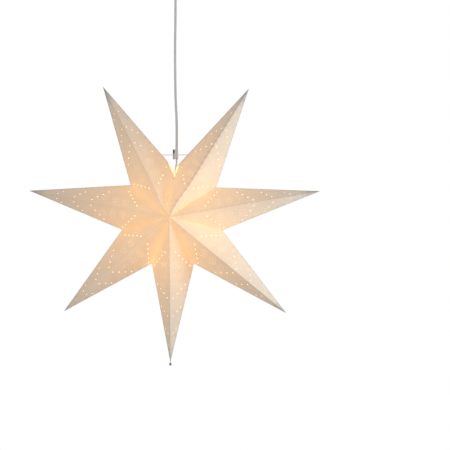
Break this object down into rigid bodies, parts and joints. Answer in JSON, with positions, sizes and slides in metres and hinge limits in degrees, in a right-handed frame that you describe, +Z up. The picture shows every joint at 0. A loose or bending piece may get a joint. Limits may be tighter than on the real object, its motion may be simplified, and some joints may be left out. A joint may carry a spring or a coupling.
{
  "type": "paper star lantern",
  "caption": "Folded paper star pendant lantern with punched faces, on a flat cord from a ceiling cup, with a small screw-cap bulb inside.",
  "frame": {"origin": "middle of the ceiling bracket's top face, where it meets the ceiling", "axes": "+Z up, -Y is the star's front, +X to the right seen from the front"},
  "size_m": [0.5379, 0.15, 0.744],
  "materials": {
    "lantern_paper": "matte pale card with punched holes",
    "hook_and_loop": "woven pads",
    "bright_wire": "bright drawn wire",
    "dark_steel": "dark satin",
    "zinc_steel": "zinc plated",
    "white_plastic": "smooth white",
    "white_shell": "fine matte white",
    "clear_nylon": "milky nylon",
    "cord_jacket": "soft light grey jacket",
    "brown_core": "brown insulation",
    "blue_core": "blue insulation",
    "contact_brass": "bright brass",
    "white_ceramic": "unglazed",
    "nickel_plate": "nickel plated",
    "black_glass": "glossy black",
    "frosted_glass": "frosted",
    "clear_glass": "clear",
    "filament_yellow": "phosphor coat",
    "circuit_board": "green board"
  },
  "bodies": {
    "ceiling": {"ceiling_bracket": "zinc_steel", "ceiling_cup": "white_plastic", "cup_screws": "zinc_steel"},
    "swivel": {"swivel_socket": "white_plastic", "socket_nut": "white_plastic"},
    "pendant": {"swivel_ball": "white_plastic", "cord_lock": "clear_nylon", "cord_lock_screw": "zinc_steel", "cord_tail": "cord_jacket", "upper_live_core": "brown_core", "upper_neutral_core": "blue_core", "terminal_connector": "clear_nylon", "connector_clamps": "contact_brass", "cord_above_clip": "cord_jacket", "cord_below_clip": "cord_jacket", "cord_grip": "clear_nylon", "cord_grip_screw": "zinc_steel", "cord_end": "cord_jacket", "holder_cap": "white_shell", "holder_shell": "white_shell", "screw_shell": "contact_brass", "centre_contact": "contact_brass", "side_contact": "contact_brass", "contact_carrier": "white_ceramic", "live_terminal": "contact_brass", "neutral_terminal": "contact_brass", "terminal_screws": "zinc_steel", "lower_live_core": "brown_core", "lower_neutral_core": "blue_core"},
    "clip": {"cord_clip": "dark_steel"},
    "star": {"point_top_left": "lantern_paper", "point_left": "lantern_paper", "point_lower_left": "lantern_paper", "point_bottom": "lantern_paper", "point_lower_right": "lantern_paper", "point_right": "lantern_paper", "point_top_right": "lantern_paper", "seam_hook_pads": "hook_and_loop", "seam_loop_pads": "hook_and_loop", "spreader_wire": "bright_wire"},
    "bulb": {"bulb_contact": "nickel_plate", "bulb_insulator": "black_glass", "bulb_cap": "nickel_plate", "driver_board": "circuit_board", "bulb_glass": "frosted_glass", "bulb_stem": "clear_glass", "led_filaments": "filament_yellow", "filament_wires": "zinc_steel"},
    "bead": {"bead_wire": "bright_wire", "tip_bead": "nickel_plate"}
  },
  "joints": [
    {"name": "star_turn", "type": "hinge", "parent": "ceiling", "child": "swivel", "pos_m": [0, 0, -0.045], "axis": [0, 0, 1], "range_deg": [-170, 170]},
    {"name": "side_swing", "type": "hinge", "parent": "swivel", "child": "pendant", "pos_m": [0, 0, -0.045], "axis": [0, 1, 0], "range_deg": [-15, 15]},
    {"name": "clip_slide", "type": "slide", "parent": "pendant", "child": "clip", "axis": [0, 0, 1], "range_m": [0, 0.008]},
    {"name": "star_tilt", "type": "hinge", "parent": "clip", "child": "star", "pos_m": [-0.0022, 0.00273, -0.3565], "axis": [1, 0, 0], "range_deg": [-2.5, 2.5]},
    {"name": "bulb_out", "type": "slide", "parent": "pendant", "child": "bulb", "axis": [0, 0, -1], "range_m": [0, 0.016]},
    {"name": "bead_swing", "type": "hinge", "parent": "star", "child": "bead", "pos_m": [-0.00904, 0.00273, -0.73285], "axis": [0, 1, 0], "range_deg": [-40, 40]}
  ]
}
